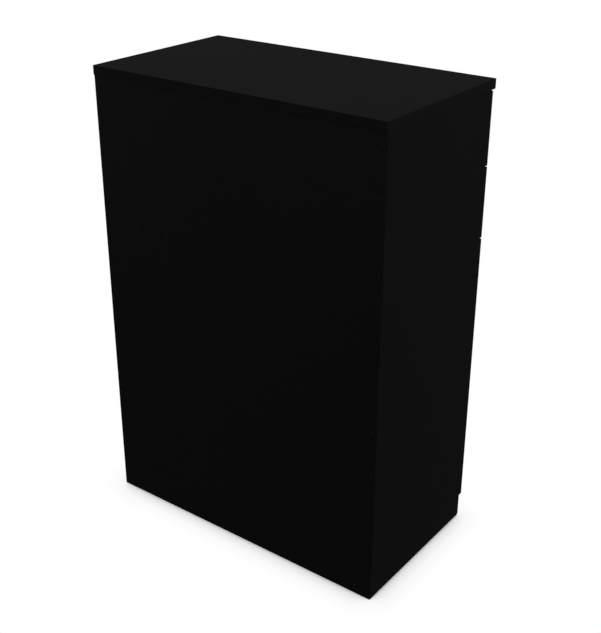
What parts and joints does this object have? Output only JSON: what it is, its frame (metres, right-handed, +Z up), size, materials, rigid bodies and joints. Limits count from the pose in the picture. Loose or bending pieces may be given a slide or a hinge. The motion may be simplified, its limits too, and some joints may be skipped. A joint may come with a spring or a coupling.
{
  "type": "storage cabinet",
  "caption": "Tall matt black storage cabinet with full-width drawers above hinged doors, on a recessed plinth, with concealed hinges, telescopic slides and an adjustable shelf.",
  "frame": {"origin": "on the floor, at the middle of the outer box, handles included", "axes": "+Z up, +X to the right seen from the front, -Y out of the drawer fronts and doors, +Y out of the back"},
  "size_m": [0.8, 0.4614, 1.145],
  "materials": {
    "laminate": "matt black melamine on particleboard, fine grained texture",
    "hardboard": "matt black lacquered hardboard",
    "drawer_board": "dark grey foil on particleboard",
    "drawer_base": "dark grey lacquered hardboard",
    "handle": "black powder coat, fine texture",
    "zinc": "bright zinc plate",
    "nickel": "nickel plate",
    "plastic": "black nylon"
  },
  "bodies": {
    "carcass": {"top_panel": "laminate", "left_side_panel": "laminate", "right_side_panel": "laminate", "bottom_panel": "laminate", "middle_panel": "laminate", "plinth_board": "laminate", "adjustable_shelf": "laminate", "back_panel": "hardboard", "left_front_glide": "plastic", "left_rear_glide": "plastic", "right_front_glide": "plastic", "right_rear_glide": "plastic", "left_front_shelf_pin": "nickel", "left_rear_shelf_pin": "nickel", "right_front_shelf_pin": "nickel", "right_rear_shelf_pin": "nickel", "upper_drawer_left_cabinet_slide": "zinc", "upper_drawer_right_cabinet_slide": "zinc", "lower_drawer_left_cabinet_slide": "zinc", "lower_drawer_right_cabinet_slide": "zinc", "left_lower_hinge_plate": "nickel", "left_lower_hinge_arm": "nickel", "left_upper_hinge_plate": "nickel", "left_upper_hinge_arm": "nickel", "right_lower_hinge_plate": "nickel", "right_lower_hinge_arm": "nickel", "right_upper_hinge_plate": "nickel", "right_upper_hinge_arm": "nickel"},
    "upper_drawer": {"upper_drawer_front": "laminate", "upper_drawer_left_side": "drawer_board", "upper_drawer_right_side": "drawer_board", "upper_drawer_back": "drawer_board", "upper_drawer_base": "drawer_base", "upper_drawer_handle": "handle", "upper_drawer_left_drawer_slide": "zinc", "upper_drawer_right_drawer_slide": "zinc"},
    "upper_drawer_middle_slides": {"upper_drawer_left_middle_slide": "zinc", "upper_drawer_right_middle_slide": "zinc"},
    "lower_drawer": {"lower_drawer_front": "laminate", "lower_drawer_left_side": "drawer_board", "lower_drawer_right_side": "drawer_board", "lower_drawer_back": "drawer_board", "lower_drawer_base": "drawer_base", "lower_drawer_handle": "handle", "lower_drawer_left_drawer_slide": "zinc", "lower_drawer_right_drawer_slide": "zinc"},
    "lower_drawer_middle_slides": {"lower_drawer_left_middle_slide": "zinc", "lower_drawer_right_middle_slide": "zinc"},
    "left_hinge_links": {"left_lower_hinge_link": "nickel", "left_upper_hinge_link": "nickel"},
    "left_door_leaf": {"left_door": "laminate", "left_door_handle": "handle", "left_lower_hinge_cup": "nickel", "left_upper_hinge_cup": "nickel"},
    "right_hinge_links": {"right_lower_hinge_link": "nickel", "right_upper_hinge_link": "nickel"},
    "right_door_leaf": {"right_door": "laminate", "right_door_handle": "handle", "right_lower_hinge_cup": "nickel", "right_upper_hinge_cup": "nickel"}
  },
  "joints": [
    {"name": "upper_drawer_slide", "type": "slide", "parent": "carcass", "child": "upper_drawer", "axis": [0, -1, 0], "range_m": [0, 0.35]},
    {"name": "upper_middle_slide", "type": "slide", "parent": "carcass", "child": "upper_drawer_middle_slides", "axis": [0, -1, 0], "range_m": [0, 0.175]},
    {"name": "lower_drawer_slide", "type": "slide", "parent": "carcass", "child": "lower_drawer", "axis": [0, -1, 0], "range_m": [0, 0.35]},
    {"name": "lower_middle_slide", "type": "slide", "parent": "carcass", "child": "lower_drawer_middle_slides", "axis": [0, -1, 0], "range_m": [0, 0.175]},
    {"name": "left_link_pivot", "type": "hinge", "parent": "carcass", "child": "left_hinge_links", "pos_m": [-0.375, -0.19295, 0.4145], "axis": [0, 0, 1], "range_deg": [0, 38]},
    {"name": "left_door_pivot", "type": "hinge", "parent": "left_hinge_links", "child": "left_door_leaf", "pos_m": [-0.3899, -0.19345, 0.4145], "axis": [0, 0, -1], "range_deg": [0, 133]},
    {"name": "right_link_pivot", "type": "hinge", "parent": "carcass", "child": "right_hinge_links", "pos_m": [0.375, -0.19295, 0.4145], "axis": [0, 0, -1], "range_deg": [0, 38]},
    {"name": "right_door_pivot", "type": "hinge", "parent": "right_hinge_links", "child": "right_door_leaf", "pos_m": [0.3899, -0.19345, 0.4145], "axis": [0, 0, 1], "range_deg": [0, 133]}
  ],
  "couplings": [
    {"joint": "upper_middle_slide", "follows": "upper_drawer_slide", "ratio": 0.5},
    {"joint": "lower_middle_slide", "follows": "lower_drawer_slide", "ratio": 0.5},
    {"joint": "left_door_pivot", "follows": "left_link_pivot", "ratio": 3.5},
    {"joint": "right_door_pivot", "follows": "right_link_pivot", "ratio": 3.5}
  ]
}
